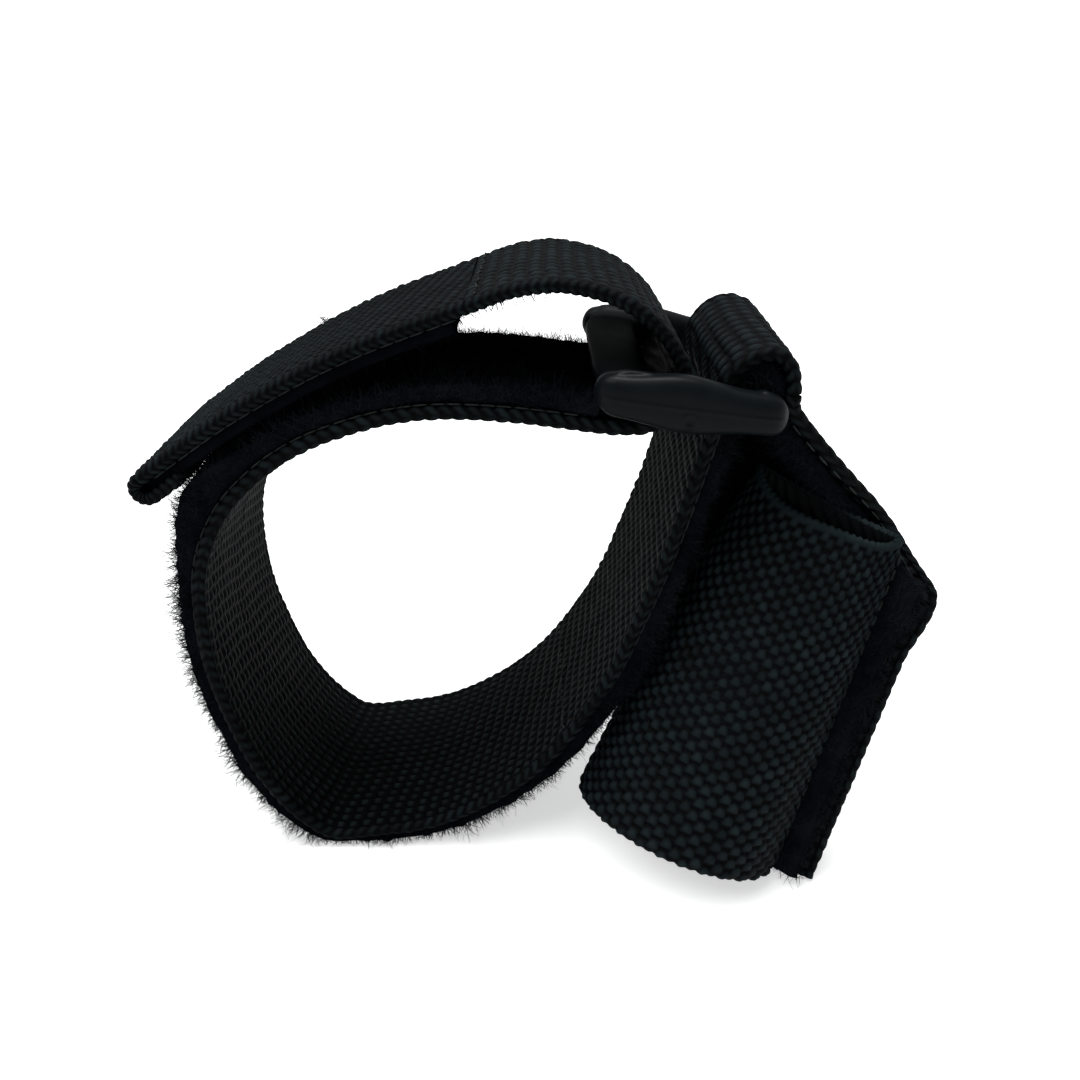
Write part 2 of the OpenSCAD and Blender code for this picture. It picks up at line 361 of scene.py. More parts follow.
def strap_rings(strip, back_columns=40, back_relief=0.5, coarse=0.0, edge_along=EDGE_ALONG):
    """Rings round a woven strap, and the height of its weave, from 0 to 1, at each of their points.

    R and F have ribs and each edge has a scalloped selvedge. As far along as coarse, the ribs on R are
    broad and straight."""
    r = strip.thick / 2
    flat = strip.width - r
    count = int(round(2 * flat / RIB_ACROSS)) * ACROSS_SAMPLES
    y_r = np.linspace(-flat, flat, count + 1)
    y_f = np.linspace(flat, -flat, back_columns if back_columns else count + 1)
    turn = np.radians(np.linspace(90, -90, 15))[1:-1]
    edge_y, edge_h = np.cos(turn), np.sin(turn)
    y = np.concatenate([y_r, flat + r * edge_y, y_f, -flat - r * edge_y[::-1]])
    h = np.concatenate([0 * y_r + r, r * edge_h, 0 * y_f - r, r * edge_h[::-1]])
    ny = np.concatenate([0 * y_r, edge_y, 0 * y_f, -edge_y[::-1]])
    nh = np.concatenate([0 * y_r + 1, edge_h, 0 * y_f - 1, edge_h[::-1]])
    side = np.concatenate([0 * y_r, 0 * edge_y + 1, 0 * y_f + 2, 0 * edge_y + 1])
    s = strip.at[:, None]
    broad = rib_relief(s, y + flat, BROAD_ACROSS, 0.0, BROAD_SHARES)
    height = np.where(side == 0, np.where(s < coarse, broad, rib_relief(s, y + flat)), 0.0)
    height = np.where(side == 2, rib_relief(s + RIB_ALONG / 2, y + flat) * back_relief, height)
    tilt = np.clip(h / r, -1, 1)
    phase = s / edge_along + 0.3 * np.sign(y) + 0.55 * np.abs(tilt - 0.1)
    loops = (0.8 + 0.2 * hashed(np.floor(phase), np.sign(y))) * pill(phase, 0.85)
    loops = loops * (0.45 + 0.55 * np.clip(np.abs(tilt - 0.1) / 0.25, 0, 1))
    height = np.where(side == 1, 0.85 * loops, height)
    tall = np.where(side == 1, EDGE_HEIGHT, RIB_HEIGHT)
    lift = (height - 0.55) * tall
    i = np.arange(len(strip.at))[:, None] * np.ones(len(y), int)
    spread = strip.half[:, None] / strip.width
    return strip.place(i, (y + ny * lift) * spread, h + nh * lift), height


def strap_mesh(name, strip, material, **kwargs):
    """A woven strap as a closed mesh, which knows the height of its weave."""
    rings, height = strap_rings(strip, **kwargs)
    return tube_mesh(name, rings, material, height)


def soft_noise(shape, cells):
    """Smooth random values from -1 to 1 on a grid, with about so many cells each way."""
    coarse = RNG.uniform(-1, 1, (max(4, cells[0]), max(4, cells[1])))
    rows = np.linspace(0, coarse.shape[0] - 1.001, shape[0])
    cols = np.linspace(0, coarse.shape[1] - 1.001, shape[1])
    i, j = rows.astype(int)[:, None], cols.astype(int)[None, :]
    u, v = rows[:, None] - i, cols[None, :] - j
    u, v = u * u * (3 - 2 * u), v * v * (3 - 2 * v)
    return ((1 - u) * (1 - v) * coarse[i, j] + u * (1 - v) * coarse[i + 1, j]
            + (1 - u) * v * coarse[i, j + 1] + u * v * coarse[i + 1, j + 1])


def tape_mesh(name, strip, material, lumps, swell=None):
    """A sewn tape on a strap's F side: a closed slab with a lumpy outer face and soft rounded edges."""
    stations = np.arange(0, len(strip.at), 2)
    r = strip.thick / 2
    flat = strip.width - 0.5 * r
    count = 90
    y_out = np.linspace(-flat, flat, count)
    turn = np.radians(np.linspace(90, -90, 7))[1:-1]
    y_edge = flat + 0.6 * r * np.cos(turn)
    y = np.concatenate([y_out, y_edge, y_out[::-1], -y_edge[::-1]])
    h = np.concatenate([np.full(count, r), r * np.sin(turn), np.full(count, -r), r * np.sin(turn[::-1])])
    cells = (int(len(stations) / 3), int(len(y) / 3))
    noise = soft_noise((len(stations), len(y)), cells)
    pile_side = h < r * 0.9
    lift = np.where(pile_side, noise * lumps, 0.0)
    i = stations[:, None] * np.ones(len(y), int)
    edge = np.where(np.abs(y) > flat, np.sign(y), 0) * lift
    spread = strip.half[i] / strip.width
    grown = 0.0 if swell is None else swell[stations][:, None]
    depth = np.where(h < -0.5 * r, np.abs(lift) + grown, 0.5 * grown * (h < 0.5 * r))
    rings = strip.place(i, (y + edge) * spread, h - depth)
    return tube_mesh(name, rings, material)


def fibres(name, roots, directions, lengths, curl, width, material):
    """Short curved ribbons, one for each root, as one mesh that stays above the floor."""
    n, segments = len(roots), 3
    directions = unit(directions)
    side = unit(np.cross(directions, RNG.normal(size=(n, 3))))
    bend = unit(np.cross(directions, side))
    points = []
    for k in range(segments + 1):
        t = k / segments
        centre = roots + (lengths * t)[:, None] * directions + (lengths * curl * t * t)[:, None] * bend
        half = (width * (1.0 - 0.65 * t) / 2)[:, None] * side
        points += [centre - half, centre + half]
    points = np.stack(points, 1).reshape(-1, 3)
    points[:, 2] = np.maximum(points[:, 2], cad_box[0].z + 0.05 * MM)
    base = (np.arange(n) * 2 * (segments + 1))[:, None, None]
    quad = np.array([[2 * k, 2 * k + 1, 2 * k + 3, 2 * k + 2] for k in range(segments)])[None]
    return make_mesh(name, points, (base + quad).reshape(-1, 4), material, smooth=False)


def pile_fibres(name, strip, material, swell=None, shag=None):
    """Loose pile that stands out of a tape's outer face and leans out over its two edges."""
    area = strip.length * strip.width * 2 / MM**2
    n = int(area * PILE_PER_MM2)
    i = RNG.integers(0, len(strip.at), n)
    y = RNG.uniform(-strip.width, strip.width, n)
    edge = RNG.random(n) < 0.2
    y = np.where(edge, np.sign(y) * strip.width * RNG.uniform(0.97, 1.03, n), y)
    h = np.where(edge, RNG.uniform(-0.5, 0.3, n) * strip.thick, -0.4 * strip.thick)
    if swell is not None:
        h = h - swell[i] * np.where(edge, RNG.random(n), 1.0)
    roots = strip.place(i, y * strip.half[i] / strip.width, h)
    out = -strip.out(i, y) + np.where(edge, np.sign(y) * 0.8, 0)[:, None] * strip.across[i]
    lean = RNG.normal(0, 0.5, (n, 3))
    tuft = 1 + 0.35 * np.sin(i / 9.0) * np.sin(y / (1.7 * MM)) + 0.2 * np.sin(i / 23.0 + y / (0.9 * MM))
    size = RNG.uniform(*PILE_LENGTHS, n) * tuft * np.where(RNG.random(n) < 0.05, 1.5, 1.0) * MM
    if shag is not None:
        size = size * shag[i]
    width = RNG.uniform(0.08, 0.15, n) * MM
    return fibres(name, roots, unit(out) + lean, size, RNG.uniform(-1.2, 1.2, n), width, material)


def capsules(name, centres, directions, length, radius, material):
    """Rounded thread stitches, as one mesh."""
    sides, rows = 8, 7
    turn = np.linspace(0, 2 * np.pi, sides, endpoint=False)
    t = np.linspace(-1, 1, rows)
    ring_r = np.sqrt(np.clip(1 - np.abs(t) ** 3.2, 0.02, 1)) * radius
    directions = unit(directions)
    helper = np.where(np.abs(directions[:, 2:3]) > 0.9, [[1.0, 0, 0]], [[0, 0, 1.0]])
    a = unit(np.cross(directions, helper))
    b = np.cross(directions, a)
    ring = np.cos(turn)[None, :, None] * a[:, None, :] + np.sin(turn)[None, :, None] * b[:, None, :]
    along = (t * length / 2)[None, :, None, None] * directions[:, None, None, :]
    points = centres[:, None, None, :] + along + ring_r[None, :, None, None] * ring[:, None, :, :]
    base = (np.arange(len(centres)) * rows * sides)[:, None, None]
    faces = (base + closed_faces(rows, sides)[None]).reshape(-1, 4)
    return make_mesh(name, points.reshape(-1, 3), faces, material)


def seam_across(name, strip, station):
    """A row of stitches across the strap's R face."""
    pitch = 2.1 * MM
    half = strip.half[station] - 1.2 * MM
    y = np.arange(-half, half, pitch) + pitch / 2
    centres = strip.place(np.full(len(y), station), y, np.full(len(y), strip.thick / 2 + 0.16 * MM))
    centres = centres + RNG.normal(0, 0.08, (len(y), 3)) * MM
    directions = strip.across[station] + RNG.normal(0, 0.16, (len(y), 3))
    return capsules(name, centres, directions, pitch * 0.62, 0.19 * MM, THREAD)


def seam_along(name, strip, edge, first, last):
    """Two rows of stitches along the strap's F side, one at each edge."""
    pitch = 2.4 * MM
    depth = -strip.thick / 2 - THREAD_PROUD
    centres, directions = [], []
    for y in (-edge, edge):
        for at in np.arange(first, last, pitch):
            i = strip.station(at)
            centres.append(strip.place(i, y, depth))
            directions.append(strip.heading(i, y))
    return capsules(name, np.array(centres), np.array(directions), pitch * 0.98, 0.15 * MM, THREAD)


# ---------------------------------------------------------------- materials
def nodes_of(name):
    """A new material, its node tree and its shader."""
    material = bpy.data.materials.new(name)
    material.use_nodes = True
    tree = material.node_tree
    return material, tree, tree.nodes["Principled BSDF"]


def noise_node(tree, scale, detail, rough):
    """Noise laid over the piece, about so many cells to a metre."""
    place = tree.nodes.new("ShaderNodeTexCoord")
    noise = tree.nodes.new("ShaderNodeTexNoise")
    noise.inputs["Scale"].default_value = scale
    noise.inputs["Detail"].default_value = detail
    noise.inputs["Roughness"].default_value = rough
    tree.links.new(place.outputs["Object"], noise.inputs["Vector"])
    return noise


def ramp_node(tree, source, low, high, start=0.3, end=0.7):
    """A colour that runs from low to high while the source runs from start to end."""
    ramp = tree.nodes.new("ShaderNodeValToRGB")
    ramp.color_ramp.elements[0].position = start
    ramp.color_ramp.elements[1].position = end
    ramp.color_ramp.elements[0].color = (*low, 1)
    ramp.color_ramp.elements[1].color = (*high, 1)
    tree.links.new(source, ramp.inputs["Fac"])
    return ramp


def range_node(tree, source, low, high):
    """A value that runs from low to high while the source runs from 0 to 1."""
    node = tree.nodes.new("ShaderNodeMapRange")
    node.inputs["To Min"].default_value = low
    node.inputs["To Max"].default_value = high
    tree.links.new(source, node.inputs["Value"])
    return node.outputs["Result"]


def raised_node(tree):
    """What mark_raised stored for each point."""
    node = tree.nodes.new("ShaderNodeAttribute")
    node.attribute_name = "raised"
    return node.outputs["Fac"]


def bump_node(tree, source, bsdf, distance, strength):
    """Fine relief in the shader, too small to be worth geometry."""
    node = tree.nodes.new("ShaderNodeBump")
    node.inputs["Distance"].default_value = distance
    node.inputs["Strength"].default_value = strength
    tree.links.new(source, node.inputs["Height"])
    tree.links.new(node.outputs["Normal"], bsdf.inputs["Normal"])


def cloth_material(name, low, high, rough, shine, woven=False):
    """Black yarn: patches of slightly different black, fine filaments, and in a weave painted shade, the
    colour darkened where the weave is low.
    """
    material, tree, bsdf = nodes_of(name)
    patches = noise_node(tree, 150, 5, 0.7)
    colour = ramp_node(tree, patches.outputs["Fac"], low, high)
    shown = colour.outputs["Color"]
    if woven:
        # Painted shade: the base colour is multiplied down to near black where the stored weave height is
        # low, between yarns and floats
        gap_shade = ramp_node(tree, raised_node(tree), (0.03, 0.03, 0.05), (1, 1, 1), 0.3, 0.95)
        mix = tree.nodes.new("ShaderNodeMix")
        mix.data_type = "RGBA"
        mix.blend_type = "MULTIPLY"
        mix.inputs["Factor"].default_value = 1.0
        tree.links.new(shown, mix.inputs["A"])
        tree.links.new(gap_shade.outputs["Color"], mix.inputs["B"])
        shown = mix.outputs["Result"]
    tree.links.new(shown, bsdf.inputs["Base Color"])
    fine = noise_node(tree, 2600, 3, 0.55).outputs["Fac"]
    tree.links.new(range_node(tree, fine, *rough), bsdf.inputs["Roughness"])
    bump_node(tree, fine, bsdf, 0.12 * MM, 0.7)
    bsdf.inputs["Specular IOR Level"].default_value = shine
    return material


def plastic_material(name, low, high):
    """Moulded plastic: a dull skin with faint grain, more polished where it is marked as raised."""
    material, tree, bsdf = nodes_of(name)
    patches = noise_node(tree, 260, 4, 0.6).outputs["Fac"]
    colour = ramp_node(tree, patches, low, high)
    tree.links.new(colour.outputs["Color"], bsdf.inputs["Base Color"])
    tree.links.new(range_node(tree, patches, 0.34, 0.5), bsdf.inputs["Roughness"])
    gloss = range_node(tree, raised_node(tree), 0.004, 0.075)
    tree.links.new(gloss, bsdf.inputs["Specular IOR Level"])
    grain = noise_node(tree, 3400, 2, 0.5)
    bump_node(tree, grain.outputs["Fac"], bsdf, 0.02 * MM, 0.5)
    return material


def stage_material(name, colour):
    """A matt floor that glows only for the camera, so it is white behind the strap and does not light it."""
    material, tree, bsdf = nodes_of(name)
    bsdf.inputs["Base Color"].default_value = (*colour, 1)
    bsdf.inputs["Roughness"].default_value = 0.9
    bsdf.inputs["Specular IOR Level"].default_value = 0.0
    bsdf.inputs["Emission Color"].default_value = (1, 1, 1, 1)
    path = tree.nodes.new("ShaderNodeLightPath")
    glow = tree.nodes.new("ShaderNodeMath")
    glow.operation = "MULTIPLY"
    glow.inputs[1].default_value = 0.55
    tree.links.new(path.outputs["Is Camera Ray"], glow.inputs[0])
    tree.links.new(glow.outputs["Value"], bsdf.inputs["Emission Strength"])
    return material


DULL = (0.9, 1.0)
SATIN = (0.5, 0.7)
# With woven set, these two paint shade into the low places of the weave
WEBBING = cloth_material("webbing_black", (0.0048, 0.0080, 0.0090), (0.0105, 0.0160, 0.0176),
                         SATIN, 0.04, woven=True)
SLEEVE = cloth_material("sleeve_weave", (0.0052, 0.0090, 0.0104), (0.0110, 0.0176, 0.0198),
                        SATIN, 0.05, woven=True)
PILE = cloth_material("pile_black", (0.0022, 0.0024, 0.0040), (0.0070, 0.0080, 0.0105), DULL, 0.0)
FUZZ = cloth_material("pile_fuzz", (0.0036, 0.0044, 0.0060), (0.0105, 0.0125, 0.0150), DULL, 0.0)
HOOK = cloth_material("hook_black", (0.0014, 0.0014, 0.0024), (0.0036, 0.0040, 0.0054), (0.8, 1.0), 0.0)
THREAD = cloth_material("thread", (0.012, 0.014, 0.014), (0.024, 0.027, 0.027), SATIN, 0.05)
BUCKLE = plastic_material("buckle_plastic", (0.0020, 0.0032, 0.0038), (0.0032, 0.0046, 0.0054))


def hand_in(obj, slot, body, *replaced):
    """Rides a piece on its body and hides the CAD nodes it stands for; slot is not used."""
    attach(obj, body)
    if replaced:
        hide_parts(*replaced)


def bend(obj, slot, joint_name, direction, reach, *replaced):
    """A strap that crosses a joint: its place is baked into its points and the CAD nodes it stands for are
    hidden. It is not bent; slot, joint_name, direction and reach are not used.
    """
    if replaced:
        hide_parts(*replaced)
    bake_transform(obj)


# ---------------------------------------------------------------- strips
def eased(s, start, end):
    """1 up to start, then a smooth fall to 0 at end."""
    t = np.clip((s - start) / (end - start), 0, 1)
    return 1 - t * t * (3 - 2 * t)


def shifted(strip, near, far):
    """The same strap with its two rails moved by an offset at each station."""
    facing = strip.out(np.arange(len(strip.at)))
    return Strip(strip.near + near, strip.far + far, strip.at, strip.thick, facing)


def lean_roll(loop, leg):
    """The loop and the leg with their roll on the round bar moved to where the photo shows it.

    On its right the far end sits further out and higher than the near end. Its top sits further right."""
    lean_near, lean_far = np.array([-0.4, 0.0, 0.0]) * MM, np.array([1.2, 0.0, 0.8]) * MM
    top_near, top_far = np.array([1.1, 0.0, 0.2]) * MM, np.array([1.1, 0.0, 0.6]) * MM
    right = eased(loop.at, 0 * MM, 9 * MM)[:, None]
    top = (1 - right) * eased(loop.at, 10 * MM, 22 * MM)[:, None]
    fall = eased(leg.at, 1 * MM, 14 * MM)[:, None]
    return (shifted(loop, right * lean_near + top * top_near, right * lean_far + top * top_far),
            shifted(leg, fall * lean_near, fall * lean_far))


def spread_low(strip):
    """The same strap, widened towards the bottom of the loop."""
    return strip.widened(1 + LOW_SPREAD * np.clip(-strip.middle[:, 2] / LOOP_DEPTH, 0, 1))


loop = Strip.read("loop_webbing", (1, 0, 0))
tail = Strip.read("tail_webbing", (1, 0, 0), extend=(0.5 * MM, 0.3 * MM))
tab = Strip.read("tab_webbing", (1, 0, 0), extend=(0.3 * MM, 0.0))
leg = Strip.read("leg_webbing", (0, 0, 1), extend=(0.6 * MM, 0.0))
loop_pile = spread_low(Strip.read("loop_pile_tape", (1, 0, 0.3)))
leg_pile = Strip.read("leg_pile_tape", (0, 0, 1))
tab_hooks = Strip.read("tab_hook_tape", (1, 0, 0))
loop, leg = lean_roll(loop, leg)
loop = spread_low(loop)


# ---------------------------------------------------------------- buckle
def rounded(exponent, count):
    """Points round a superellipse that reaches from -1 to 1 both ways."""
    turn = np.linspace(0, 2 * np.pi, count, endpoint=False)
    c, s = np.cos(turn), np.sin(turn)
    return np.sign(c) * np.abs(c) ** (2 / exponent), np.sign(s) * np.abs(s) ** (2 / exponent)


def section_tube(name, centres, wide, high, wide_dir, high_dir, exponent=2.8):
    """A closed tube through section centres, each section a rounded box of its own width and height."""
    a, b = rounded(exponent, 32)
    rings = (centres[:, None, :] + (wide[:, None] * a)[..., None] * wide_dir[:, None, :]
             + (high[:, None] * b)[..., None] * high_dir[:, None, :])
    return tube_mesh(name, rings, BUCKLE)


def end_taper(t, share):
    """1 along the middle, falling in a quarter circle to a small value at both ends."""
    x = np.clip(np.minimum(t, 1 - t) / share, 0.02, 1)
    return np.sqrt(1 - (1 - x) ** 2)


class BuckleFrame:
    """Where the slide's parts lie: the middle of its hump, and its left and right ends."""

    def __init__(self):
        lo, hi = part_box("buckle_frame")
        self.edge_y = hi.y
        self.hump = Vector(((lo.x + hi.x) / 2 - 0.4 * MM, 0, (lo.z + hi.z) / 2))
        self.left = Vector((lo.x, 0, self.hump.z + 1.2 * MM))
        self.right = Vector((hi.x, 0, self.hump.z - 2.5 * MM))

    def line(self, t):
        """x and z of a side bar's middle, from the left end at 0 to the right end at 1."""
        return self.left.x + (self.right.x - self.left.x) * t, self.left.z + (self.right.z - self.left.z) * t


def side_bar(slide, side):
    """A side bar: tallest a little left of its middle, with rounded ends that draw in."""
    bar_w = 4.8 * MM
    t = np.linspace(0, 1, 60)
    x, z = slide.line(t)
    swell = np.exp(-((t - 0.46) / 0.22) ** 2)
    high = (3.0 + 1.2 * swell) * MM * end_taper(t, 0.1)
    wide = (0.5 * bar_w + 0.1 * MM * swell) * end_taper(t, 0.1)
    y = side * (slide.edge_y - bar_w / 2 - 1.3 * MM * (1 - end_taper(t, 0.3)))
    across = np.tile([0.0, 1.0, 0.0], (len(t), 1))
    up = np.tile([0.0, 0.0, 1.0], (len(t), 1))
    return section_tube("side_bar", np.stack([x, y, z], 1), wide, high, across, up)


def cross_bar(slide, centre, wide_r, high_r, tilt=0.0, exponent=2.0, flare=0.5, pull=0.0):
    """A bar from side to side, thicker by flare where it meets them. Pull draws its ends in to the right."""
    count = 40
    y = np.linspace(-(slide.edge_y - 2.2 * MM), slide.edge_y - 2.2 * MM, count)
    corner = 1.7 * MM * pull * np.clip((np.abs(y) - 12 * MM) / (9 * MM), 0, 1) ** 2
    centres = np.stack([centre[0] + corner, y, np.full(count, centre[1])], 1)
    swell = 1 + flare * np.clip((np.abs(y) - 17.5 * MM) / (4 * MM), 0, 1) ** 2
    a = np.tile([math.cos(tilt), 0, math.sin(tilt)], (count, 1))
    b = np.tile([-math.sin(tilt), 0, math.cos(tilt)], (count, 1))
    return section_tube("bar", centres, np.full(count, wide_r), high_r * swell, a, b, exponent)


def build_buckle():
    """The three-bar slide: two humped side bars, a round bar, a thin middle bar and a broad flat bar."""
    slide = BuckleFrame()
    axis = Vector(JOINTS["buckle_rock"]["pos_m"])
    flat = (slide.left.x + 4.45 * MM, slide.left.z + 0.35 * MM)
    parts = [side_bar(slide, side) for side in (-1, 1)]
    parts.append(cross_bar(slide, (axis.x, axis.z), 1.75 * MM, 1.75 * MM))
    parts.append(cross_bar(slide, (axis.x - 7.9 * MM, axis.z + 0.4 * MM), 0.85 * MM, 0.8 * MM))
    parts.append(cross_bar(slide, flat, 4.3 * MM, 1.35 * MM, -0.115, 3.0, flare=1.0, pull=1.0))

    bpy.ops.object.select_all(action="DESELECT")
    for part in parts:
        part.select_set(True)
    bpy.context.view_layer.objects.active = parts[0]
    bpy.ops.object.join()
    body = parts[0]
    body.name = "buckle_body"
    body.data.name = "buckle_body"
    remesh = body.modifiers.new("remesh", "REMESH")
    remesh.mode = "VOXEL"
    remesh.voxel_size = 0.24 * MM
    remesh.use_smooth_shade = True
    smooth = body.modifiers.new("smooth", "SMOOTH")
    smooth.factor = 0.5
    smooth.iterations = 9
    bpy.context.view_layer.update()
    shaped = bpy.data.meshes.new_from_object(body.evaluated_get(bpy.context.evaluated_depsgraph_get()))
    body.modifiers.clear()
    body.data = shaped
    detail_buckle(body, slide)
    hand_in(body, "buckle_plastic", "buckle", "buckle_frame")


def detail_buckle(body, slide):
    """The mould's parting line and round gate mark on each side bar, and where the plastic is polished."""
    mesh = body.data
    co = np.zeros(len(mesh.vertices) * 3)
    mesh.vertices.foreach_get("co", co)
    co = co.reshape(-1, 3)
    t = np.clip((co[:, 0] - slide.left.x) / (slide.right.x - slide.left.x), 0, 1)
    line_z = slide.line(t)[1] - 0.1 * MM
    outer = np.clip((np.abs(co[:, 1]) - (slide.edge_y - 2.2 * MM)) / (1.2 * MM), 0, 1)
    ridge = np.exp(-((co[:, 2] - line_z) / (0.2 * MM)) ** 2) * outer
    co[:, 1] += np.sign(co[:, 1]) * ridge * 0.12 * MM
    gate_x, gate_z = slide.hump.x - 0.2 * MM, slide.hump.z - 2.4 * MM
    gap = np.hypot(co[:, 0] - gate_x, co[:, 2] - gate_z)
    dent = np.exp(-(gap / (0.55 * MM)) ** 2) - 0.45 * np.exp(-((gap - 0.95 * MM) / (0.3 * MM)) ** 2)
    co[:, 1] -= np.sign(co[:, 1]) * dent * outer * 0.3 * MM
    mesh.vertices.foreach_set("co", co.ravel())
    mesh.update()
    mark_raised(body, np.clip((np.abs(co[:, 1]) - 18.2 * MM) / (2 * MM), 0, 1))
    mesh.polygons.foreach_set("use_smooth", np.ones(len(mesh.polygons), bool))
    mesh.materials.clear()
    mesh.materials.append(BUCKLE)


# ---------------------------------------------------------------- sleeve
class SleeveFrame:
    """The flat part of the leg: across from the near edge, out of F, and up from the tip."""

    def __init__(self):
        rails = read_rails("leg_webbing", (0, 0, 1))
        tip, higher = rails["near", "F"][-1], rails["near", "F"][-4]
        self.tip = tip
        self.up = unit(higher - tip)
        across = rails["far", "F"][-1] - tip
        self.across = unit(across - (across @ self.up) * self.up)
        self.out = np.cross(self.up, self.across)
        if self.out @ (rails["near", "F"][-1] - rails["near", "R"][-1]) < 0:
            self.out = -self.out
        points, _ = cad_points("sleeve_webbing")
        local = points - tip
        self.a, self.b, self.s = local @ self.across, local @ self.out, local @ self.up
        self.length = float(self.s.max())

    def place(self, a, b, s):
        """Points a across, b out and s up."""
        return self.tip + a[..., None] * self.across + b[..., None] * self.out + s[..., None] * self.up

    def rim(self, top):
        """Near and far limits, base and height of the tube at one of its rims."""
        mask = self.s > self.length - 0.6 * MM if top else self.s < 1.2 * MM
        a, b = self.a[mask], self.b[mask]
        lip = self.b[self.s > self.length - 5 * MM] if top else b
        return float(a.min()), float(a.max()), float(b.min()), float(lip.max())


def drop_relief(u, x, columns):
    """Height of the sleeve's weave, from 0 to 1: the tallest of the teardrops that reach a place."""
    best = np.zeros(np.broadcast(u, x).shape)
    nearest = np.floor(x)
    for shift in (-1, 0, 1):
        column = np.mod(nearest + shift, columns)
        v = u + 0.5 * np.mod(column, 2) + 0.05 * hashed(column)
        row = np.floor(v)
        v = v - row
        wide = 0.86 - 0.56 * v
        gap = np.abs(x - (nearest + shift + 0.5 + 0.06 * hashed(row, column))) / wide
        drop = np.clip(1 - gap**2, 0, 1) ** 0.6 * pill(v, 0.86) * (0.85 + 0.15 * hashed(column, row))
        best = np.maximum(best, drop)
    return best


def build_sleeve():
    """A flattened tube of coarse webbing, sewn down at its back and bulging forward, open at both ends."""
    sleeve = SleeveFrame()
    near0, far0, base0, top0 = sleeve.rim(False)
    near1, far1, base1, top1 = sleeve.rim(True)
    columns = 2 * int(round(SLEEVE_GIRTH / DROP_ACROSS / 2))
    around = columns * DROP_SAMPLES
    rows = int(round(sleeve.length / DROP_ALONG * 9))
    turn = np.linspace(0, 2 * np.pi, around, endpoint=False)
    t = np.linspace(0, 1, rows)[:, None]

    def surface(inner):
        """The tube's wall, inset by inner. Its mouth, at t = 1, narrows and tilts, and its front droops."""
        near = near0 + (near1 - near0) * t + 0.5 * MM * t**4
        far = far0 + (far1 - far0) * t - 3.4 * MM * t**4
        base = base0 + (base1 - base0) * t**4
        top = top0 + (top1 - top0) * t - 1.8 * MM * t**4
        front = np.maximum(0, np.sin(turn))
        a = (near + far) / 2 - ((far - near) / 2 - inner) * np.cos(turn)
        b = base + inner + (top - base - 2 * inner) * front**0.85
        sag = 1.0 * MM * np.sin(np.pi * t) * np.sin(turn) ** 3
        droop = 3.5 * MM * t * front + 0.5 * MM * np.sin(3 * turn + 1.0) * front * t**6
        share = (1 - np.cos(turn)) / 2
        tilt = 2.4 * MM * share**2 - 0.8 * MM * (1 - share) ** 2
        s = 0.4 * MM + t * (sleeve.length - 0.6 * MM) - droop + tilt * t**3
        return sleeve.place(a, b - np.maximum(sag, 0) * (inner == 0), s)

    outer = surface(0.0)
    normal = unit(np.cross(np.roll(outer, -1, 1) - np.roll(outer, 1, 1), np.gradient(outer, axis=0)))
    middle = outer.mean(1, keepdims=True)
    normal *= np.sign(((outer - middle) * normal).sum(-1, keepdims=True).mean(1, keepdims=True))
    u = sleeve.length * t / DROP_ALONG
    place = np.linspace(0, columns, around, endpoint=False)[None, :]
    relief = drop_relief(u, place, columns)
    # Near the mouth the weave is evened out to a high value, so the lip is smooth and gets no painted shade
    lip = np.exp(-((1 - t) / 0.012) ** 2)
    relief = relief * (1 - lip) + 0.9 * lip
    outer = outer + normal * ((relief - 0.5) * DROP_HEIGHT)[..., None]
    inner = surface(SLEEVE_WALL)
    inner = inner + normal * (0.12 * MM * np.sin(2 * np.pi * (u + 0.5 * place)))[..., None]

    def rolled(outer_row, inner_row, way):
        """Three rings that round a rim over from the outer wall to the inner wall."""
        rings = []
        for angle in (45, 90, 135):
            mix = (1 - math.cos(math.radians(angle))) / 2
            puff = way * 0.5 * SLEEVE_WALL * math.sin(math.radians(angle))
            ring = outer_row * (1 - mix) + inner_row * mix + puff * sleeve.up
            ring = ring + (0.14 * MM * np.sin(2 * np.pi * place.ravel()))[:, None] * sleeve.up
            rings.append(ring)
        return np.array(rings)

    top = rolled(outer[-1], inner[-1], 1)
    bottom = rolled(inner[0], outer[0], -1)
    rings = np.concatenate([outer, top, inner[::-1], bottom])
    count = len(rings)
    faces = wall_faces(count, around)
    j = np.arange(around)
    last = (count - 1) * around
    closing = np.stack([last + j, last + (j + 1) % around, (j + 1) % around, j], -1)
    obj = make_mesh("sleeve", rings.reshape(-1, 3), np.concatenate([faces, closing]), SLEEVE)
    # Painted shade: the outer wall keeps its weave height, the rolled rims stay at full colour, and the
    # inner wall is stored at 0.33 so the material paints it dark as shade inside the tube
    rim = np.ones((3, around))
    mark_raised(obj, np.concatenate([relief, rim, np.full((rows, around), 0.33), rim]))
    hand_in(obj, "sleeve_weave", "leg", "sleeve_webbing")
    return sleeve


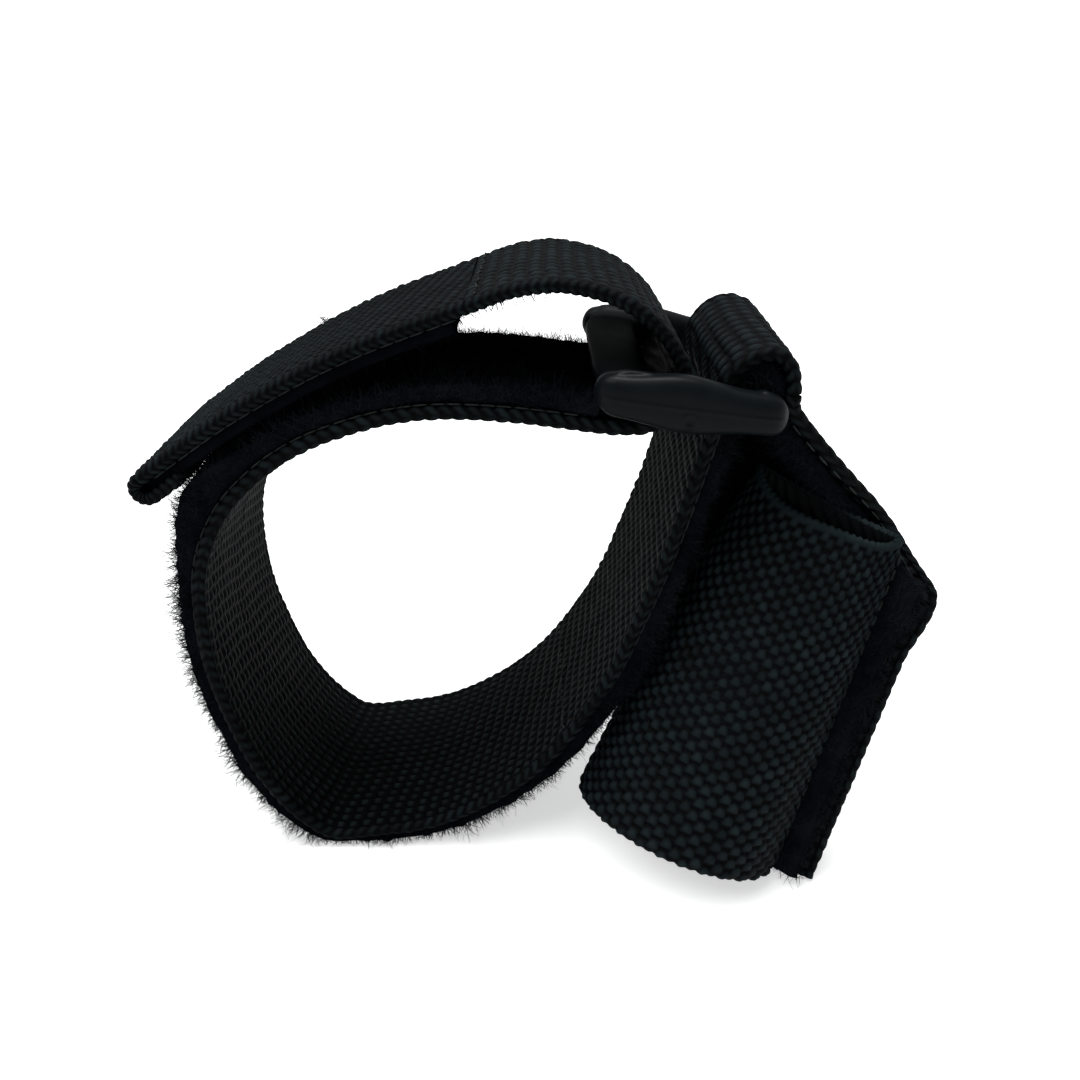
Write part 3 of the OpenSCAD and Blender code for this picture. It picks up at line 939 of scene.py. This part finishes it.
# ---------------------------------------------------------------- build every piece
def build_loop():
    """The loop's webbing, its pile tape and its seams.

    The pile swells under the tab's tip and beside the sleeve, and is shaggier on the left."""
    band = strap_mesh("loop_strap", loop, WEBBING, coarse=16 * MM)
    hand_in(band, "webbing_black", "loop", "loop_webbing")
    under_tip = tab.middle[-1] + np.array([8.0, 0, -3.5]) * MM
    swell = 3.0 * MM * np.exp(-(np.linalg.norm(loop_pile.middle - under_tip, axis=1) / (9 * MM)) ** 2)
    by_sleeve = np.array(JOINTS["leg_swing"]["pos_m"]) - np.array([25.0, 0, 46.5]) * MM
    swell += 1.1 * MM * np.exp(-(np.linalg.norm(loop_pile.middle - by_sleeve, axis=1) / (12 * MM)) ** 2)
    left = JOINTS["tab_peel"]["pos_m"][0] - 34.1 * MM
    shag = 1 + 0.5 * np.clip((left - loop_pile.middle[:, 0]) / (10 * MM), 0, 1)
    pile = tape_mesh("loop_pile", loop_pile, PILE, 0.45 * MM, swell=swell)
    hand_in(pile, "pile_black", "loop", "loop_pile_tape")
    fuzz = pile_fibres("loop_pile_fibres", loop_pile, FUZZ, swell=swell, shag=shag)
    hand_in(fuzz, "pile_black", "loop")
    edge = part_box("loop_edge_stitching")[1].y - SEAM_INSET
    seam = seam_along("loop_edge_thread", loop, edge, 24 * MM, loop.length - 18 * MM)
    hand_in(seam, "thread", "loop", "loop_edge_stitching")
    stitch = node_centre("loop_cross_stitch")
    cross = seam_across("loop_cross_thread", loop, loop.nearest((stitch.x, 0, stitch.z)))
    hand_in(cross, "thread", "loop", "loop_cross_stitch")


def build_tail():
    """The tail's webbing, its cross stitch, and the loose hooks under it next to the tab."""
    up_slot = (-0.12, 0, 1)
    band = strap_mesh("tail_strap", tail, WEBBING, coarse=math.inf, edge_along=SHORT_EDGE_ALONG)
    bend(band, "webbing_black", "tail_lift", up_slot, 5 * MM, "tail_webbing")
    cross = seam_across("tail_cross_thread", tail, tail.nearest(node_centre("tail_cross_stitch")))
    hand_in(cross, "thread", "tail", "tail_cross_stitch")
    n = TAIL_HOOKS
    i = len(tail.at) - 1 - (RNG.random(n) ** 1.6 * 55).astype(int)
    y = RNG.uniform(-tail.width, tail.width, n)
    roots = tail.place(i, y, np.full(n, -0.4 * tail.thick))
    lean = -tail.out(i, y) + RNG.normal(0, 0.35, (n, 3))
    lengths, curl = RNG.uniform(0.8, 2.0, n) * MM, RNG.uniform(-0.6, 0.6, n)
    strays = fibres("tail_stray_hooks", roots, lean, lengths, curl, RNG.uniform(0.1, 0.3, n) * MM, HOOK)
    hand_in(strays, "hook_black", "tail")


def build_tab():
    """The tab's webbing, its hook tape with the hooks, and its seams."""
    to_tip = (-0.93, 0, -0.36)
    band = strap_mesh("tab_strap", tab, WEBBING, edge_along=SHORT_EDGE_ALONG)
    bend(band, "webbing_black", "tab_peel", to_tip, 5 * MM, "tab_webbing")
    hooks = tape_mesh("tab_hook_base", tab_hooks, HOOK, 0.15 * MM)
    hand_in(hooks, "hook_black", "tab", "tab_hook_tape")
    half = tab_hooks.width
    n = int(tab_hooks.length * 2 * half / MM**2 * HOOKS_PER_MM2)
    i = RNG.integers(0, len(tab_hooks.at), n)
    y = RNG.uniform(-half, half, n)
    roots = tab_hooks.place(i, y, np.full(n, -0.4 * tab_hooks.thick))
    lean = -tab_hooks.out(i, y) + RNG.normal(0, 0.2, (n, 3))
    lengths, curl = RNG.uniform(*HOOK_LENGTHS, n) * MM, RNG.uniform(0.2, 0.7, n)
    bristles = fibres("tab_hook_bristles", roots, lean, lengths, curl, np.full(n, 0.16 * MM), HOOK)
    hand_in(bristles, "hook_black", "tab")
    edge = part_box("tab_edge_stitching")[1].y - SEAM_INSET
    seam = seam_along("tab_edge_thread", tab, edge, 3 * MM, tab.length - 2 * MM)
    hand_in(seam, "thread", "tab", "tab_edge_stitching")


def build_hem():
    """The folded tip: webbing that rolls round the end of the tab and lies under it."""
    end = len(tab.at) - 1
    along, out = tab.heading(end, 0.0), tab.out(end)
    middle = tab.middle[end] + (tab.thick / 2 - FOLD_R) * out + 0.3 * MM * along
    turn = np.radians(np.linspace(90, -90, 40))
    under = np.linspace(0, 5.5 * MM, 24)[1:]
    path = [middle + FOLD_R * (np.cos(a) * along + np.sin(a) * out) for a in turn]
    path += [path[-1] - u * along for u in under]
    path = np.array(path)
    normal = np.array([np.cos(a) * along + np.sin(a) * out for a in turn] + [-out] * len(under))
    at = np.concatenate([[0], np.cumsum(np.linalg.norm(np.diff(path, axis=0), axis=1))])
    line = path - normal * FOLD_THICK / 2
    side = tab.width * tab.across[end]
    fold = Strip(line - side, line + side, at, FOLD_THICK, normal)
    band = strap_mesh("tab_tip_fold", fold, WEBBING, edge_along=SHORT_EDGE_ALONG)
    hand_in(band, "webbing_black", "tab", "tab_tip_hem")


def build_leg():
    """The hanging end's webbing, ribbed on both faces, its pile tape and seams, and the sleeve on it."""
    away = (0.55, 0, -0.83)
    band = strap_mesh("leg_strap", leg, WEBBING, back_columns=0, back_relief=0.9, coarse=math.inf)
    bend(band, "webbing_black", "leg_swing", away, 4 * MM, "leg_webbing")
    pile = tape_mesh("leg_pile", leg_pile, PILE, 0.35 * MM)
    bend(pile, "pile_black", "leg_swing", away, 4 * MM, "leg_pile_tape")
    fuzz = pile_fibres("leg_pile_fibres", leg_pile, FUZZ)
    bend(fuzz, "pile_black", "leg_swing", away, 4 * MM)
    seam = seam_along("leg_edge_thread", leg, leg.width - 2.5 * MM, 6 * MM, leg.length - 1 * MM)
    hand_in(seam, "thread", "leg", "leg_edge_stitching")
    sleeve = build_sleeve()
    s = np.arange(2 * MM, sleeve.length - 3 * MM, 2.6 * MM)
    a = np.full(len(s), sleeve.a.min() + 0.1 * MM)
    centres = sleeve.place(a, np.full(len(s), sleeve.b.min() + 0.5 * MM), s)
    ways = np.tile(sleeve.up, (len(s), 1))
    seam = capsules("sleeve_seam_thread", centres, ways, 1.9 * MM, 0.24 * MM, THREAD)
    hand_in(seam, "thread", "leg", "sleeve_seam_stitching")


def build_lint():
    """A small knot of loose fibre caught on the tab near its far edge."""
    i = tab.station(tab.length * 0.52)
    root = tab.place(i, tab.width - 0.8 * MM, tab.thick / 2 + 0.1 * MM)
    n = 60
    roots = root + RNG.normal(0, 0.35, (n, 3)) * MM
    lean = tab.out(i) * 1.3 + RNG.normal(0, 0.9, (n, 3))
    lengths, curl = RNG.uniform(0.6, 1.6, n) * MM, RNG.uniform(-1, 1, n)
    knot = fibres("lint_knot", roots, lean, lengths, curl, np.full(n, 0.09 * MM), PILE)
    hand_in(knot, "pile_black", "tab")


build_loop()
build_tail()
build_lint()
build_tab()
build_hem()
build_leg()
build_buckle()


# ---------------------------------------------------------------- stage
def build_stage():
    """A pale floor that the strap stands on, soft lights, and a camera where the photo was taken from."""
    size, ground = 40.0, cad_box[0].z
    corners = [(-size, -size, ground), (size, -size, ground), (size, size, ground), (-size, size, ground)]
    pale = stage_material("floor", (0.8, 0.8, 0.8))
    make_mesh("floor", np.array(corners), np.array([[0, 1, 2, 3]]), pale, smooth=False)
    build_world()
    add_sun("key", (-0.4, -0.2, 1.0), 2.5, 50)
    add_light("top", (0.08, 0.12, 0.7), 0.16, 2.6)

    # This camera was fitted to the near and far edges of the strap in the photo
    camera = bpy.data.objects.new("camera", bpy.data.cameras.new("camera"))
    camera.data.sensor_width = 36
    camera.data.lens = 33.33
    camera.data.clip_start = 0.01
    camera.location = (16.83 * MM, -158.08 * MM, 82.42 * MM)
    camera.rotation_euler = (math.radians(90 - 25), 0, 0)
    bpy.context.scene.collection.objects.link(camera)
    bpy.context.scene.camera = camera
    bpy.context.scene.view_settings.view_transform = "Standard"


def build_world():
    """White behind everything, and a dimmer white for the light that falls on the strap."""
    world = bpy.data.worlds.new("studio")
    world.use_nodes = True
    tree = world.node_tree
    fill = tree.nodes["Background"]
    fill.inputs["Color"].default_value = (0.96, 0.99, 1.0, 1)
    fill.inputs["Strength"].default_value = 0.42
    seen = tree.nodes.new("ShaderNodeBackground")
    seen.inputs["Color"].default_value = (1, 1, 1, 1)
    seen.inputs["Strength"].default_value = 1.1
    path = tree.nodes.new("ShaderNodeLightPath")
    mix = tree.nodes.new("ShaderNodeMixShader")
    tree.links.new(path.outputs["Is Camera Ray"], mix.inputs["Fac"])
    tree.links.new(fill.outputs["Background"], mix.inputs[1])
    tree.links.new(seen.outputs["Background"], mix.inputs[2])
    tree.links.new(mix.outputs["Shader"], tree.nodes["World Output"].inputs["Surface"])
    bpy.context.scene.world = world


def add_sun(name, way, strength, degrees):
    """A broad, even light from one direction."""
    light = bpy.data.lights.new(name, "SUN")
    light.energy = strength
    light.angle = math.radians(degrees)
    obj = bpy.data.objects.new(name, light)
    obj.rotation_euler = Vector(way).to_track_quat("Z", "Y").to_euler()
    bpy.context.scene.collection.objects.link(obj)


def add_light(name, at, size, power):
    """A round, soft lamp that points at the strap."""
    light = bpy.data.lights.new(name, "AREA")
    light.shape = "DISK"
    light.size = size
    light.energy = power
    obj = bpy.data.objects.new(name, light)
    obj.location = at
    obj.rotation_euler = (Vector((0.01, 0, 0)) - Vector(at)).to_track_quat("-Z", "Y").to_euler()
    bpy.context.scene.collection.objects.link(obj)


build_stage()
